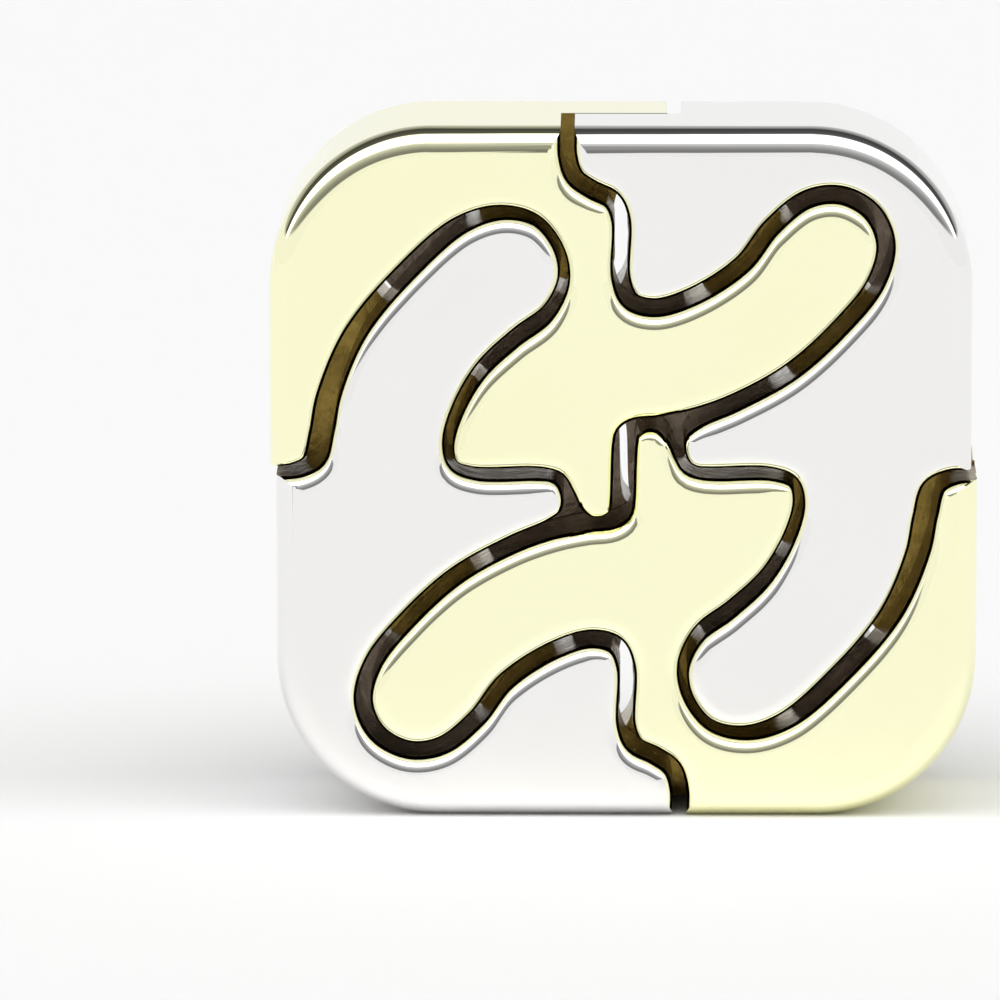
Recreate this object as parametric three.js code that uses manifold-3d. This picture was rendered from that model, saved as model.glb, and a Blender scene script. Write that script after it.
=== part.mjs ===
// An interlocking puzzle of four cast metal pieces, which close to a rounded square block.
//
// The block stands on its bottom edge: X runs to the right, Z up, and the front face looks along -Y.
// It is two flat layers, front and back, each cut into four regions by winding seams. Each piece is
// a region of the front layer and a region of the back layer cast as one, so it hooks into one
// neighbour in front and into the other behind. All four pieces are one shape: turning the block
// half a turn about X, Y or Z puts each piece where another was.

import * as THREE from "three";
import { mergeVertices } from "three/addons/utils/BufferGeometryUtils.js";
import Module from "manifold-3d";

const wasm = await Module();
wasm.setup();

// Driving dimensions, in mm.
const WIDTH = 50; // the closed block along X
const HEIGHT = 50; // the closed block along Z
const LAYER_THICKNESS = 8; // one of the two layers along Y
const LAYER_GAP = 0.3; // running clearance between a front region and a neighbour's back region
const SEAM_GAP = 1; // width of the seams between the pieces
const CORNER_RADIUS = 11.5; // the block's four outer corners, seen from the front
const OUTER_ROUND = 2; // round where the front and back faces meet the block's sides
const SEAM_ROUND = 0.6; // round where the faces drop into the seams
const SIDE_PLAY = 0.22; // how far the closed pieces lie off centre, the upper pair left, the lower right
const DROP_PLAY = 0.25; // how far the upper pair has settled onto the lower pair

// Fineness of the curves.
const SEAM_STEP = 1.4; // distance between points along a seam
const CORNER_SEGMENTS = 8; // sides of one outer corner
const ROUND_SEGMENTS = 2; // sides of a rounded edge

// The seams are drawn on a grid of 25 steps from the block's centre to each side, so the pattern
// stretches with the block. Their ends run past the block's edge.
const GRID = 25;
const PAST_EDGE = 30;

// Between the upper left and upper right pieces: from the top edge, round the upper left piece's arm.
const TOP_SEAM = [
  [-3.8, PAST_EDGE],
  [-3.8, 25],
  [-3.8, 23],
  [-3.3, 21.5],
  [-2.1, 20.6],
  [-0.6, 19.8],
  [0, 18.4],
  [0, 14.2],
  [0.7, 12.6],
  [2.4, 12.1],
  [5.1, 12.9],
  [8.6, 15.2],
  [10.7, 17.9],
  [13.2, 19.9],
  [15.6, 20.2],
  [17.8, 19],
  [18.8, 16.7],
  [18.1, 13.9],
  [15.6, 10.7],
  [12.1, 7.5],
  [8.2, 5.3],
];

// Between the upper right and lower right pieces: round the upper right piece's arm, to the right edge.
const RIGHT_SEAM = [
  [5.3, 0.1],
  [6.4, 0],
  [10.6, 0],
  [12.1, -0.6],
  [12.5, -2],
  [11.9, -4.4],
  [10.2, -7.4],
  [7.7, -9.8],
  [5.4, -11.6],
  [4.3, -13.9],
  [4.6, -16.1],
  [6.2, -18.2],
  [8.7, -18.8],
  [11.6, -17.9],
  [15.4, -14.6],
  [19.1, -10.1],
  [21, -5.6],
  [21.5, -3],
  [22.1, -0.9],
  [23.4, -0.2],
  [25, -0.1],
  [PAST_EDGE, -0.1],
];

// The straight slot on the centre line, between the upper left and lower right pieces.
const SLOT_TOP = [0.1, 2.2];

// Where the three seams meet, each piece has its own corner: the upper left piece passes over the
// slot, the lower right piece ends in a round bump and the upper right piece in a round nose.
const OVER_SLOT = [
  [5.2, 4.2],
  [2.8, 3.7],
  [1.1, 3.5],
  [0.3, 3],
];
const BUMP = [
  [0.3, 2.9],
  [1.1, 3.5],
  [2.3, 3.5],
  [3.3, 2.7],
  [3.9, 1.4],
  [4.5, 0.4],
];
const NOSE = [
  [5.3, 4],
  [4.2, 3.1],
  [4, 1.9],
  [4.5, 0.6],
];

const halfTurned = (points) => points.map(([x, z]) => [-x, -z]);
const reversed = (points) => [...points].reverse();

// The centre-lines that bound the two front regions, with the region on the left-hand side.
const UPPER_LEFT_PATH = reversed([
  ...TOP_SEAM,
  ...OVER_SLOT,
  SLOT_TOP,
  ...halfTurned([SLOT_TOP, ...BUMP]),
  ...halfTurned(RIGHT_SEAM),
]);
const UPPER_RIGHT_PATH = [...TOP_SEAM, ...NOSE, ...RIGHT_SEAM];

// A smooth line through grid points, moved sideways by half a seam gap into its own region.
function seamEdge(path) {
  const points = path.map(
    ([x, z]) => new THREE.Vector3((x * WIDTH) / 2 / GRID, (z * HEIGHT) / 2 / GRID, 0),
  );
  const line = new THREE.CatmullRomCurve3(points, false, "centripetal");
  line.arcLengthDivisions = 20 * points.length;
  const steps = Math.round(line.getLength() / SEAM_STEP);
  const edge = [];
  for (let i = 0; i <= steps; i++) {
    const point = line.getPointAt(i / steps);
    const along = line.getTangentAt(i / steps);
    edge.push(
      new THREE.Vector2(
        point.x - (along.y * SEAM_GAP) / 2,
        point.y + (along.x * SEAM_GAP) / 2,
      ),
    );
  }
  return edge;
}

// A closed mesh geometry as a solid that can be joined and cut.
function solidOf(geometry) {
  const bare = geometry.clone();
  bare.deleteAttribute("normal");
  bare.deleteAttribute("uv");
  const merged = mergeVertices(bare, 1e-4);
  return new wasm.Manifold(
    new wasm.Mesh({
      numProp: 3,
      vertProperties: merged.attributes.position.array,
      triVerts: new Uint32Array(merged.index.array),
    }),
  );
}

function geometryOf(solid) {
  const mesh = solid.getMesh();
  const geometry = new THREE.BufferGeometry();
  geometry.setAttribute("position", new THREE.BufferAttribute(mesh.vertProperties, 3));
  geometry.setIndex(new THREE.BufferAttribute(mesh.triVerts, 1));
  const faceted = geometry.toNonIndexed();
  faceted.computeVertexNormals();
  return faceted;
}

const HALF_DEPTH = LAYER_THICKNESS + LAYER_GAP / 2;

// An outline drawn in X and Z, given depth along Y from `back` to the front face, with both ends
// of its wall rounded.
function rounded(shape, back, round) {
  const geometry = new THREE.ExtrudeGeometry(shape, {
    depth: HALF_DEPTH + back - 2 * round,
    bevelEnabled: true,
    bevelThickness: round,
    bevelSize: round,
    bevelOffset: -round,
    bevelSegments: ROUND_SEGMENTS,
    curveSegments: CORNER_SEGMENTS,
  });
  geometry.translate(0, 0, round - back);
  geometry.rotateX(Math.PI / 2);
  return geometry;
}

// The closed block, before the seams divide it.
function block() {
  const right = WIDTH / 2;
  const top = HEIGHT / 2;
  const shape = new THREE.Shape();
  shape.moveTo(CORNER_RADIUS - right, -top);
  shape.lineTo(right - CORNER_RADIUS, -top);
  shape.absarc(right - CORNER_RADIUS, CORNER_RADIUS - top, CORNER_RADIUS, -Math.PI / 2, 0);
  shape.lineTo(right, top - CORNER_RADIUS);
  shape.absarc(right - CORNER_RADIUS, top - CORNER_RADIUS, CORNER_RADIUS, 0, Math.PI / 2);
  shape.lineTo(CORNER_RADIUS - right, top);
  shape.absarc(CORNER_RADIUS - right, top - CORNER_RADIUS, CORNER_RADIUS, Math.PI / 2, Math.PI);
  shape.lineTo(-right, CORNER_RADIUS - top);
  shape.absarc(
    CORNER_RADIUS - right,
    CORNER_RADIUS - top,
    CORNER_RADIUS,
    Math.PI,
    (3 * Math.PI) / 2,
  );
  return solidOf(rounded(shape, HALF_DEPTH, OUTER_ROUND));
}

// One region of the front layer, standing well past the block outside, and past the middle behind.
// `side` is -1 for the upper left region and 1 for the upper right one.
function region(path, side) {
  const corner = new THREE.Vector2((side * WIDTH * PAST_EDGE) / GRID, (HEIGHT * PAST_EDGE) / GRID);
  const shape = new THREE.Shape([...seamEdge(path), corner]);
  return rounded(shape, LAYER_THICKNESS / 2, SEAM_ROUND);
}

// Everything in front of the layer gap, or behind it.
function half(front) {
  const slab = new THREE.BoxGeometry(4 * WIDTH, 4 * LAYER_THICKNESS, 4 * HEIGHT);
  const middle = 2 * LAYER_THICKNESS + LAYER_GAP / 2;
  slab.translate(0, front ? -middle : middle, 0);
  return solidOf(slab);
}

// The upper left piece, about the block's centre. Behind, it fills the region that the upper right
// piece fills in front, turned half a turn about Z.
function piece() {
  const front = solidOf(region(UPPER_LEFT_PATH, -1));
  const back = solidOf(region(UPPER_RIGHT_PATH, 1).rotateZ(Math.PI));
  const both = front.intersect(back);
  const layers = front.intersect(half(true)).add(back.intersect(half(false)));
  return geometryOf(layers.add(both).intersect(block()));
}

const GOLD_PLATING = { color: 0xf6ecaa, roughness: 0.12, metalness: 1 };
const NICKEL_PLATING = { color: 0xe6e3e1, roughness: 0.1, metalness: 1 };

const shape = piece();
const puzzle = new THREE.Group();
puzzle.name = "four_piece_puzzle";

// Each piece is the same casting, turned half a turn about one axis or about none.
function place(name, plating, turned, side, drop) {
  const mesh = new THREE.Mesh(shape, new THREE.MeshStandardMaterial(plating));
  mesh.name = name;
  mesh.rotation.set(...turned);
  mesh.position.set(side, 0, HEIGHT / 2 - drop);
  puzzle.add(mesh);
}

place("gold_upper_left", GOLD_PLATING, [0, 0, 0], -SIDE_PLAY, DROP_PLAY);
place("silver_upper_right", NICKEL_PLATING, [0, 0, Math.PI], -SIDE_PLAY, DROP_PLAY);
place("gold_lower_right", GOLD_PLATING, [0, Math.PI, 0], SIDE_PLAY, 0);
place("silver_lower_left", NICKEL_PLATING, [Math.PI, 0, 0], SIDE_PLAY, 0);

export default puzzle;
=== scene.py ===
"""An interlocking puzzle of four cast metal pieces, mirror-plated gold and nickel, on its edge.

Each piece is one casting: a hooked region of the front layer and a hooked region of the back
layer. The four castings are one shape, turned half a turn about X, Y or Z.
"""

import math

import bmesh
import bpy
from mathutils import Matrix, Vector
from mathutils.geometry import interpolate_bezier


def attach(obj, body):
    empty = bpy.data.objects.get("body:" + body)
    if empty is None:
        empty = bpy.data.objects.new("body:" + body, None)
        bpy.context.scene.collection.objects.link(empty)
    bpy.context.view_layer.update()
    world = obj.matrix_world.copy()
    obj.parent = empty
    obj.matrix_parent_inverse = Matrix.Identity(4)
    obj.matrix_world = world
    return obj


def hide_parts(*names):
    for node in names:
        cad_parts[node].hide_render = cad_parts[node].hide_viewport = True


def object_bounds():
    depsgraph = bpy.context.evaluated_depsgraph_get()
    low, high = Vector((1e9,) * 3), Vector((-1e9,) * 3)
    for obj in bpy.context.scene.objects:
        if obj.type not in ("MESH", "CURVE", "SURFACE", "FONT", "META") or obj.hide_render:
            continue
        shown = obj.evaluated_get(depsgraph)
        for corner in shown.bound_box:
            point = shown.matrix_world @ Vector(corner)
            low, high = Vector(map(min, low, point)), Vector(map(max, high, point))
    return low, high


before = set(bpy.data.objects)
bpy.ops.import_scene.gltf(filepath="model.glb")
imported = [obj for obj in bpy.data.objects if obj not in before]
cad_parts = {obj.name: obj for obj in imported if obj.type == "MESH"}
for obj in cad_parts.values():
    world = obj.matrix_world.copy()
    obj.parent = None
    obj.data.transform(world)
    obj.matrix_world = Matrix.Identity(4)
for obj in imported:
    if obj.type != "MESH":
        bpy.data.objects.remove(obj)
cad_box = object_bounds()

MM = 0.001

# The closed block, from the frame. The pieces lie a little off their nominal places: the upper
# pair left and down, the lower pair right, as far as the seams let them.
LOW, HIGH = (Vector(corner) for corner in cad_box)
SIDE_PLAY = 0.22 * MM
DROP_PLAY = 0.25 * MM
WIDTH = HIGH.x - LOW.x - 2 * SIDE_PLAY
HEIGHT = HIGH.z - LOW.z + DROP_PLAY
HALF_DEPTH = (HIGH.y - LOW.y) / 2

LAYER_GAP = 0.3 * MM
SEAM_GAP = 1.0 * MM
CORNER_RADIUS = 11.5 * MM
OUTER_ROUND = 2.0 * MM
SEAM_ROUND = 1.2 * MM

# A rim takes this share of the room inside a bend, and narrows gradually on the way to it.
RIM_SHARE = 0.8
BEND_REACH = 0.6 * MM
RIM_BLEND = 1.2 * MM

# Faces this close to the block's outside belong to it.
SKIN_MARGIN = 0.05 * MM

# Fineness of the mesh.
SEAM_STEP = 0.3 * MM
CORNER_SEGMENTS = 48
OUTER_ROUND_SEGMENTS = 12
SEAM_ROUND_SEGMENTS = 8
SHARP_ANGLE = math.radians(38)

# The seams are drawn on a grid of 25 steps from the block's centre to each side.
GRID = 25
PAST_EDGE = 30

# Between the upper left and upper right pieces: from the top edge, round the upper left arm.
TOP_SEAM = [
    (-3.8, PAST_EDGE),
    (-3.8, 25),
    (-3.8, 23),
    (-3.3, 21.5),
    (-2.1, 20.6),
    (-0.6, 19.8),
    (0, 18.4),
    (0, 14.2),
    (0.7, 12.6),
    (2.4, 12.1),
    (5.1, 12.9),
    (8.6, 15.2),
    (10.7, 17.9),
    (13.2, 19.9),
    (15.6, 20.2),
    (17.8, 19),
    (18.8, 16.7),
    (18.1, 13.9),
    (15.6, 10.7),
    (12.1, 7.5),
    (8.2, 5.3),
]

# Between the upper right and lower right pieces: round the upper right arm, to the right edge.
RIGHT_SEAM = [
    (5.3, 0.1),
    (6.4, 0),
    (10.6, 0),
    (12.1, -0.6),
    (12.5, -2),
    (11.9, -4.4),
    (10.2, -7.4),
    (7.7, -9.8),
    (5.4, -11.6),
    (4.3, -13.9),
    (4.6, -16.1),
    (6.2, -18.2),
    (8.7, -18.8),
    (11.6, -17.9),
    (15.4, -14.6),
    (19.1, -10.1),
    (21, -5.6),
    (21.5, -3),
    (22.1, -0.9),
    (23.4, -0.2),
    (25, -0.1),
    (PAST_EDGE, -0.1),
]

# The straight slot on the centre line, and each piece's own corner where three seams meet.
SLOT_TOP = (0.1, 2.2)
OVER_SLOT = [(5.2, 4.2), (2.8, 3.7), (1.1, 3.5), (0.3, 3)]
BUMP = [(0.3, 2.9), (1.1, 3.5), (2.3, 3.5), (3.3, 2.7), (3.9, 1.4), (4.5, 0.4)]
NOSE = [(5.3, 4), (4.2, 3.1), (4, 1.9), (4.5, 0.6)]


def half_turned(points):
    return [(-x, -z) for x, z in points]


UPPER_LEFT_PATH = [
    *reversed(half_turned(RIGHT_SEAM)),
    *reversed(half_turned([SLOT_TOP, *BUMP])),
    SLOT_TOP,
    *reversed(OVER_SLOT),
    *reversed(TOP_SEAM),
]
UPPER_RIGHT_PATH = [*TOP_SEAM, *NOSE, *RIGHT_SEAM]


# ---------------------------------------------------------------- outlines


def smooth_line(points, step):
    """Points every step or less along a centripetal curve through the given ones."""
    ends = [2 * points[0] - points[1], *points, 2 * points[-1] - points[-2]]
    line = [points[0]]
    for before, start, end, after in zip(ends, ends[1:], ends[2:], ends[3:]):
        span = math.sqrt((end - start).length)
        span_before = math.sqrt((start - before).length)
        span_after = math.sqrt((after - end).length)
        leaving = (
            (start - before) / span_before
            - (end - before) / (span_before + span)
            + (end - start) / span
        ) * span
        arriving = (
            (end - start) / span
            - (after - start) / (span + span_after)
            + (after - end) / span_after
        ) * span
        count = max(2, math.ceil((end - start).length / step) + 1)
        stretch = interpolate_bezier(start, start + leaving / 3, end - arriving / 3, end, count)
        line.extend(stretch[1:])
    return line


def seam_centre(path):
    """A seam's centre-line, from its grid points."""
    points = [Vector((x * WIDTH / 2 / GRID, 0, z * HEIGHT / 2 / GRID)) for x, z in path]
    return smooth_line(points, SEAM_STEP)


def leftward(line):
    """The direction square to a line at each of its points, to the left."""
    sides = []
    for before, after in zip([line[0], *line], [*line[1:], line[-1]]):
        along = (after - before).normalized()
        sides.append(Vector((-along.z, 0, along.x)))
    return sides


def rim_widths(line):
    """The width of the rounded rim at each point: full, or less where the seam bends tightly."""
    reach = math.ceil(BEND_REACH / SEAM_STEP)
    limits = []
    for i in range(len(line)):
        before = line[max(0, i - reach)]
        after = line[min(len(line) - 1, i + reach)]
        into, out = line[i] - before, after - line[i]
        turn = into.z * out.x - into.x * out.z
        chords = into.length * out.length * (after - before).length
        radius = chords / (-2 * turn) if turn < 0 and chords > 0 else math.inf
        limits.append(min(SEAM_ROUND, RIM_SHARE * (radius - SEAM_GAP / 2)))
    spread = math.ceil(RIM_BLEND / SEAM_STEP)
    narrow = [min(limits[max(0, i - spread) : i + spread + 1]) for i in range(len(limits))]
    widths = []
    for i in range(len(narrow)):
        nearby = narrow[max(0, i - spread) : i + spread + 1]
        widths.append(sum(nearby) / len(nearby))
    return widths


# ---------------------------------------------------------------- solids


def new_object(name, bm):
    """A solid of triangles, which the joins and cuts keep as they are."""
    bmesh.ops.recalc_face_normals(bm, faces=bm.faces)
    bmesh.ops.triangulate(bm, faces=bm.faces)
    mesh = bpy.data.meshes.new(name)
    bm.to_mesh(mesh)
    bm.free()
    made = bpy.data.objects.new(name, mesh)
    bpy.context.collection.objects.link(made)
    return made


def round_edges(bm, edges, radius, segments):
    bmesh.ops.bevel(
        bm,
        geom=edges,
        offset=radius,
        offset_type="OFFSET",
        segments=segments,
        profile=0.5,
        affect="EDGES",
        clamp_overlap=False,
        material=-1,
    )


def extrude_back(bm, face, depth):
    """Gives a face in the front plane a depth along Y, and returns the edges of the front."""
    made = bmesh.ops.extrude_face_region(bm, geom=[face], use_keep_orig=True)
    moved = [v for v in made["geom"] if isinstance(v, bmesh.types.BMVert)]
    bmesh.ops.translate(bm, verts=moved, vec=(0, depth, 0))
    return list(face.edges)


def closed_loop(bm, points):
    """A closed loop of edges through the points."""
    verts = [bm.verts.new(point) for point in points]
    return [bm.edges.new(pair) for pair in zip(verts, [*verts[1:], verts[0]])]


def region(path, side):
    """A region of the front layer: a front with rounded rims, and walls to past the middle."""
    line = seam_centre(path)
    sides = leftward(line)
    widths = rim_widths(line)
    corner = Vector((side * WIDTH * PAST_EDGE / GRID, 0, HEIGHT * PAST_EDGE / GRID))
    wall = [point + aside * SEAM_GAP / 2 for point, aside in zip(line, sides)]
    bm = bmesh.new()
    past_middle = Vector((0, HALF_DEPTH / 2, 0))
    loops = [closed_loop(bm, [point + past_middle for point in (*wall, corner)])]
    for k in range(SEAM_ROUND_SEGMENTS + 1):
        angle = k / SEAM_ROUND_SEGMENTS * math.pi / 2
        depth = Vector((0, SEAM_ROUND * (1 - math.sin(angle)) - HALF_DEPTH, 0))
        ring = [
            point + aside * width * (1 - math.cos(angle)) + depth
            for point, aside, width in zip(wall, sides, widths)
        ]
        loops.append(closed_loop(bm, [*ring, corner + depth]))
    for lower, upper in zip(loops, loops[1:]):
        bmesh.ops.bridge_loops(bm, edges=[*lower, *upper])
    bmesh.ops.contextual_create(bm, geom=loops[0])
    bmesh.ops.contextual_create(bm, geom=loops[-1])
    return new_object("region", bm)


def block():
    """The closed block, before the seams divide it."""
    bm = bmesh.new()
    upright = Matrix.Translation((0, -HALF_DEPTH, 0)) @ Matrix.Rotation(math.pi / 2, 4, "X")
    bmesh.ops.create_grid(bm, x_segments=1, y_segments=1, size=0.5, matrix=upright)
    bmesh.ops.scale(bm, verts=bm.verts, vec=(WIDTH, 1, HEIGHT))
    bmesh.ops.bevel(
        bm,
        geom=bm.verts[:],
        offset=CORNER_RADIUS,
        segments=CORNER_SEGMENTS,
        profile=0.5,
        affect="VERTICES",
        material=-1,
    )
    bm.faces.ensure_lookup_table()
    extrude_back(bm, bm.faces[0], 2 * HALF_DEPTH)
    rims = [e for e in bm.edges if abs(e.verts[0].co.y - e.verts[1].co.y) < HALF_DEPTH]
    round_edges(bm, rims, OUTER_ROUND, OUTER_ROUND_SEGMENTS)
    return new_object("block", bm)


def cut_off(obj, y, keep_front):
    """Cuts a solid across at a depth and closes the cut."""
    bm = bmesh.new()
    bm.from_mesh(obj.data)
    cut = bmesh.ops.bisect_plane(
        bm,
        geom=[*bm.verts, *bm.edges, *bm.faces],
        plane_co=(0, y, 0),
        plane_no=(0, 1, 0),
        clear_outer=keep_front,
        clear_inner=not keep_front,
    )
    loop = [e for e in cut["geom_cut"] if isinstance(e, bmesh.types.BMEdge)]
    bmesh.ops.contextual_create(bm, geom=loop)
    return new_object(obj.name, bm)


def combine(obj, tool, operation):
    """Joins, cuts or intersects two solids, and keeps the result in the first."""
    modifier = obj.modifiers.new("combine", "BOOLEAN")
    modifier.operation = operation
    modifier.solver = "MANIFOLD"
    modifier.object = tool
    made = obj.evaluated_get(bpy.context.evaluated_depsgraph_get())
    mesh = bpy.data.meshes.new_from_object(made)
    obj.modifiers.clear()
    obj.data = mesh
    bpy.data.objects.remove(tool)
    return obj


def casting():
    """The upper left piece about the block's centre."""
    front = region(UPPER_LEFT_PATH, -1)
    back = region(UPPER_RIGHT_PATH, 1)
    back.data.transform(Matrix.Rotation(math.pi, 4, "Z"))
    solid = cut_off(front, -LAYER_GAP / 2, True)
    combine(solid, cut_off(back, LAYER_GAP / 2, False), "UNION")
    combine(solid, combine(front, back, "INTERSECT"), "UNION")
    combine(solid, block(), "INTERSECT")
    solid.data.materials.clear()
    return solid


# ---------------------------------------------------------------- materials


def srgb(code):
    """An sRGB hex colour as linear RGBA."""
    parts = [int(code[i : i + 2], 16) / 255 for i in (1, 3, 5)]
    linear = [c / 12.92 if c <= 0.04045 else ((c + 0.055) / 1.055) ** 2.4 for c in parts]
    return (*linear, 1)


def node(tree, kind, settings=None, inputs=None):
    """Adds a node, sets its properties, and sets or links its inputs."""
    made = tree.nodes.new(kind)
    for key, value in (settings or {}).items():
        setattr(made, key, value)
    for key, value in (inputs or {}).items():
        if isinstance(value, bpy.types.NodeSocket):
            tree.links.new(value, made.inputs[key])
        else:
            made.inputs[key].default_value = value
    return made


def per_metre(size_mm):
    """The scale of a noise whose features are this many millimetres across."""
    return 1 / (size_mm * MM)


def new_material(name):
    material = bpy.data.materials.new(name)
    material.use_nodes = True
    material.node_tree.nodes.clear()
    return material, material.node_tree


def finish_material(tree, shader):
    node(tree, "ShaderNodeOutputMaterial", inputs={"Surface": shader.outputs[0]})


def plated_casting(name, tint, deep_tint):
    """Electroplated zinc, tumbled and buffed: a mirror with a faint haze and soft waves."""
    material, tree = new_material(name)
    place = node(tree, "ShaderNodeTexCoord").outputs["Object"]
    clouds = node(
        tree,
        "ShaderNodeTexNoise",
        inputs={"Vector": place, "Scale": per_metre(14), "Detail": 2.0},
    )
    colour = node(
        tree,
        "ShaderNodeMix",
        {"data_type": "RGBA"},
        {"Factor": clouds.outputs["Fac"], 6: srgb(tint), 7: srgb(deep_tint)},
    )
    haze = node(
        tree,
        "ShaderNodeTexNoise",
        inputs={"Vector": place, "Scale": per_metre(1.2), "Detail": 6.0, "Roughness": 0.65},
    )
    roughness = node(
        tree,
        "ShaderNodeMapRange",
        inputs={"Value": haze.outputs["Fac"], "From Min": 0.3, "From Max": 0.7,
                "To Min": 0.03, "To Max": 0.085},
    )
    waves = node(
        tree,
        "ShaderNodeTexNoise",
        inputs={"Vector": place, "Scale": per_metre(3.5), "Detail": 1.0},
    )
    bump = node(
        tree,
        "ShaderNodeBump",
        inputs={"Height": waves.outputs["Fac"], "Strength": 1.0, "Distance": 0.02 * MM},
    )
    shader = node(
        tree,
        "ShaderNodeBsdfPrincipled",
        inputs={
            "Base Color": colour.outputs[2],
            "Metallic": 1.0,
            "Roughness": roughness.outputs["Result"],
            "Normal": bump.outputs["Normal"],
        },
    )
    finish_material(tree, shader)
    return material


def grainy_plate_with_painted_shade(name, tint, deep_tint):
    """Plating over the bare cast skin in the seams: grainy, since no wheel reaches it, and coloured
    far darker than the buffed plate as painted shade in the seams and between the layers.
    """
    material, tree = new_material(name)
    place = node(tree, "ShaderNodeTexCoord").outputs["Object"]
    grain = node(
        tree,
        "ShaderNodeTexNoise",
        inputs={"Vector": place, "Scale": per_metre(0.5), "Detail": 5.0, "Roughness": 0.7},
    )
    flow = node(
        tree,
        "ShaderNodeTexNoise",
        inputs={"Vector": place, "Scale": per_metre(3), "Detail": 3.0},
    )
    # The two colours are dark browns, painted shade for the seams, mixed at random by the flow
    # noise.
    colour = node(
        tree,
        "ShaderNodeMix",
        {"data_type": "RGBA"},
        {"Factor": flow.outputs["Fac"], 6: srgb(tint), 7: srgb(deep_tint)},
    )
    roughness = node(
        tree,
        "ShaderNodeMapRange",
        inputs={"Value": grain.outputs["Fac"], "From Min": 0.3, "From Max": 0.7,
                "To Min": 0.1, "To Max": 0.28},
    )
    coarse = node(
        tree,
        "ShaderNodeBump",
        inputs={"Height": flow.outputs["Fac"], "Strength": 1.0, "Distance": 0.12 * MM},
    )
    bump = node(
        tree,
        "ShaderNodeBump",
        inputs={
            "Height": grain.outputs["Fac"],
            "Strength": 1.0,
            "Distance": 0.03 * MM,
            "Normal": coarse.outputs["Normal"],
        },
    )
    shader = node(
        tree,
        "ShaderNodeBsdfPrincipled",
        inputs={
            "Base Color": colour.outputs[2],
            "Metallic": 1.0,
            "Roughness": roughness.outputs["Result"],
            "Normal": bump.outputs["Normal"],
        },
    )
    finish_material(tree, shader)
    return material


def studio_paper():
    """Matte white background paper, with the faint tooth of its fibres."""
    material, tree = new_material("matte_white_paper")
    place = node(tree, "ShaderNodeTexCoord").outputs["Object"]
    fibres = node(
        tree,
        "ShaderNodeTexNoise",
        inputs={"Vector": place, "Scale": per_metre(2), "Detail": 4.0},
    )
    bump = node(
        tree,
        "ShaderNodeBump",
        inputs={"Height": fibres.outputs["Fac"], "Strength": 0.2, "Distance": 0.05 * MM},
    )
    shader = node(
        tree,
        "ShaderNodeBsdfPrincipled",
        inputs={
            "Base Color": srgb("#F7F7F7"),
            "Roughness": 0.9,
            "Normal": bump.outputs["Normal"],
        },
    )
    finish_material(tree, shader)
    return material


# ---------------------------------------------------------------- pieces


def mark_grainy_skin_and_painted_shade(mesh):
    """Gives the second material, grainy and coloured dark as painted shade, to the faces in the
    seams and between the layers.
    """
    inner_x = WIDTH / 2 - SKIN_MARGIN
    inner_z = HEIGHT / 2 - SKIN_MARGIN
    corner_x = WIDTH / 2 - CORNER_RADIUS
    corner_z = HEIGHT / 2 - CORNER_RADIUS
    for face in mesh.polygons:
        centre = face.center
        over_x = abs(centre.x) - corner_x
        over_z = abs(centre.z) - corner_z
        in_corner = over_x > 0 and over_z > 0
        outside = abs(centre.x) > inner_x or abs(centre.z) > inner_z
        if in_corner:
            outside = math.hypot(over_x, over_z) > CORNER_RADIUS - SKIN_MARGIN
        upright = abs(face.normal.y) < 0.05
        ledge = abs(face.normal.y) > 0.95 and abs(centre.y) < LAYER_GAP
        face.material_index = 1 if ledge or (upright and not outside) else 0


def finish_piece(name, shape, turn, shift, body, materials):
    """One plated piece, in place, riding on its body and standing for its CAD node."""
    mesh = shape.copy()
    mesh.name = name
    mesh.transform(Matrix.Translation(shift) @ turn)
    for material in materials:
        mesh.materials.append(material)
    piece = bpy.data.objects.new(name + "_casting", mesh)
    bpy.context.collection.objects.link(piece)
    mesh.shade_smooth()
    mesh.set_sharp_from_angle(angle=SHARP_ANGLE)
    weighted = piece.modifiers.new("flat_faces_stay_flat", "WEIGHTED_NORMAL")
    weighted.mode = "FACE_AREA"
    weighted.weight = 90
    weighted.keep_sharp = True
    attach(piece, body)
    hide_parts(name)
    return piece


# Each finish's second material is coloured dark: painted shade in the seams and between the layers.
gold = (
    plated_casting("pale_gold_plate_buffed", "#FFFFDB", "#FDFBD1"),
    grainy_plate_with_painted_shade("pale_gold_grainy_plate_painted_shade", "#A8904A", "#54431F"),
)
nickel = (
    plated_casting("nickel_plate_buffed", "#F5F4F3", "#F1F0EE"),
    grainy_plate_with_painted_shade("nickel_grainy_plate_painted_shade", "#8E8172", "#4A4036"),
)

master = casting()
mark_grainy_skin_and_painted_shade(master.data)
half_turns = {axis: Matrix.Rotation(math.pi, 4, axis) for axis in "XYZ"}
centre_z = LOW.z + HEIGHT / 2
upper = Vector((-SIDE_PLAY, 0, centre_z - DROP_PLAY))
lower = Vector((SIDE_PLAY, 0, centre_z))
for name, turn, shift, body, slot, materials in (
    ("gold_upper_left", Matrix.Identity(4), upper, "upper_left", "gold_plating", gold),
    ("silver_upper_right", half_turns["Z"], upper, "upper_right", "silver_plating", nickel),
    ("gold_lower_right", half_turns["Y"], lower, "lower_right", "gold_plating", gold),
    ("silver_lower_left", half_turns["X"], lower, "lower_left", "silver_plating", nickel),
):
    finish_piece(name, master.data, turn, shift, body, materials)
bpy.data.objects.remove(master)


# ---------------------------------------------------------------- studio


def floor():
    bm = bmesh.new()
    bmesh.ops.create_grid(bm, x_segments=1, y_segments=1, size=4)
    bmesh.ops.translate(bm, verts=bm.verts, vec=(0, 0, LOW.z))
    made = new_object("studio_floor", bm)
    made.data.materials.append(studio_paper())


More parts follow.
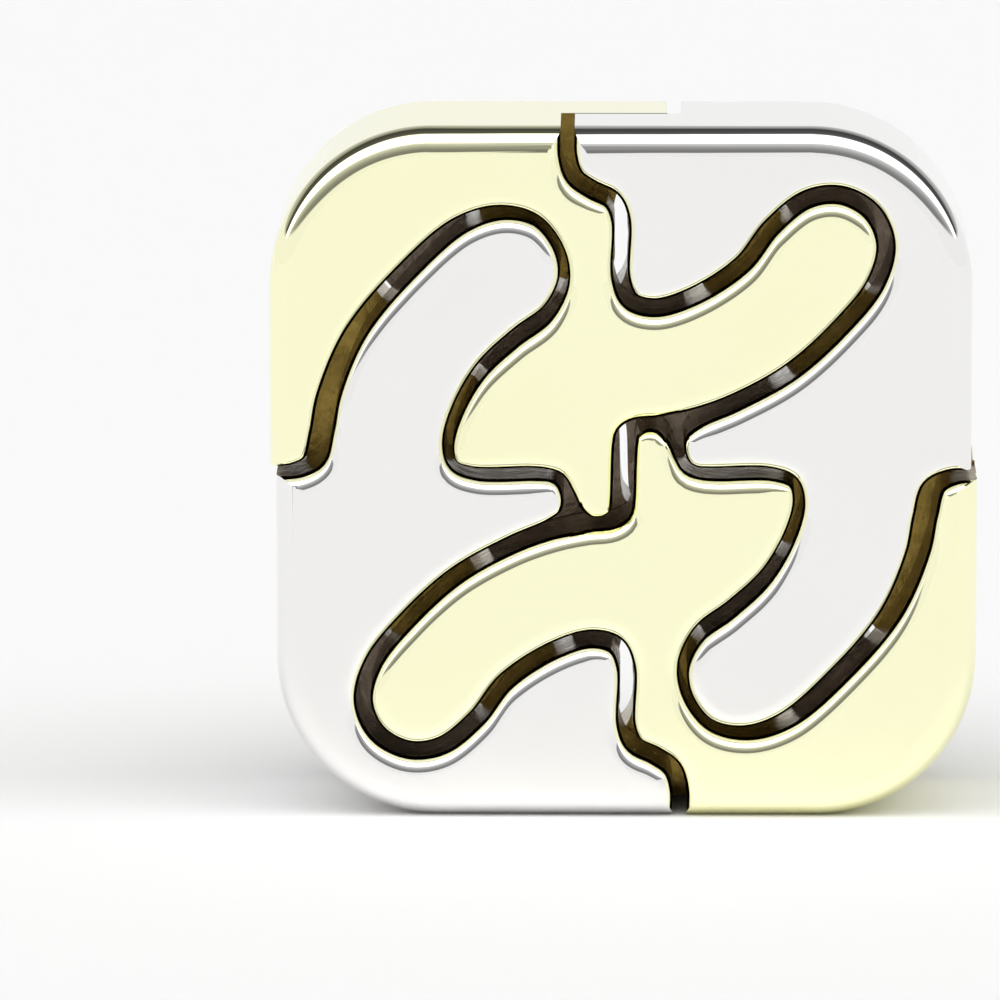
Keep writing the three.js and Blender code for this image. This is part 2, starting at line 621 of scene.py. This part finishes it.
# The room's brightness from its front (-1) over the ceiling (0) to its back (1), by the cosine of
# the angle, and the share of an even horizon that shows instead, by the sine of the height.
SKY_BANDS = (
    (-0.97, 0.2),
    (-0.92, 0.24),
    (-0.78, 0.5),
    (-0.66, 0.75),
    (-0.58, 2.55),
    (-0.04, 2.55),
    (0.12, 0.1),
    (0.6, 0.05),
    (0.76, 0.32),
    (0.96, 0.6),
)
HORIZON_MASK = ((-0.02, 1.0), (0.185, 1.0), (0.22, 0.0))
HORIZON_LIGHT = 0.93


def light_band(tree, value, stops):
    """Light along a direction's coordinate, from -1 to 1, as (place, brightness) pairs."""
    half = node(
        tree,
        "ShaderNodeMapRange",
        inputs={"Value": value, "From Min": -1.0, "From Max": 1.0, "To Min": 0.0, "To Max": 1.0},
    )
    ramp = node(tree, "ShaderNodeValToRGB", inputs={"Fac": half.outputs["Result"]})
    elements = ramp.color_ramp.elements
    while len(elements) < len(stops):
        elements.new(0.5)
    for element, (place, light) in zip(elements, stops):
        element.position = (place + 1) / 2
        element.color = (light, light, light, 1)
    return ramp.outputs["Color"]


def sky():
    """A white room seen in the metal: grey in front, a white ceiling, a dark band behind."""
    world = bpy.data.worlds.new("studio")
    bpy.context.scene.world = world
    world.use_nodes = True
    tree = world.node_tree
    tree.nodes.clear()
    direction = node(tree, "ShaderNodeTexCoord").outputs["Generated"]
    parts = node(tree, "ShaderNodeSeparateXYZ", inputs={"Vector": direction})
    flat = node(
        tree,
        "ShaderNodeCombineXYZ",
        inputs={"X": 0.0, "Y": parts.outputs["Y"], "Z": parts.outputs["Z"]},
    )
    upright = node(tree, "ShaderNodeVectorMath", {"operation": "NORMALIZE"}, {0: flat.outputs[0]})
    across = node(tree, "ShaderNodeSeparateXYZ", inputs={"Vector": upright.outputs[0]})
    overhead = light_band(tree, across.outputs["Y"], SKY_BANDS)
    low = light_band(tree, parts.outputs["Z"], HORIZON_MASK)
    mixed = node(
        tree,
        "ShaderNodeMix",
        {"data_type": "RGBA"},
        {"Factor": low, 6: overhead, 7: (HORIZON_LIGHT, HORIZON_LIGHT, HORIZON_LIGHT, 1)},
    )
    background = node(tree, "ShaderNodeBackground", inputs={"Color": mixed.outputs[2]})
    node(tree, "ShaderNodeOutputWorld", inputs={"Surface": background.outputs[0]})


def camera():
    """A long lens straight in front of the block, looking a little down on it."""
    distance = 0.8
    rise = math.radians(10)
    view_width = 71.2 * MM
    aim = Vector((-8.8 * MM, -HALF_DEPTH, 23.1 * MM))
    data = bpy.data.cameras.new("camera")
    data.sensor_width = 36
    data.lens = data.sensor_width * distance / view_width
    data.clip_start = 0.01
    made = bpy.data.objects.new("camera", data)
    bpy.context.collection.objects.link(made)
    made.location = Vector((0, aim.y - distance * math.cos(rise), aim.z + distance * math.sin(rise)))
    made.rotation_euler = (aim - made.location).to_track_quat("-Z", "Y").to_euler()
    bpy.context.scene.camera = made


floor()
sky()
camera()
bpy.context.scene.view_settings.view_transform = "Standard"
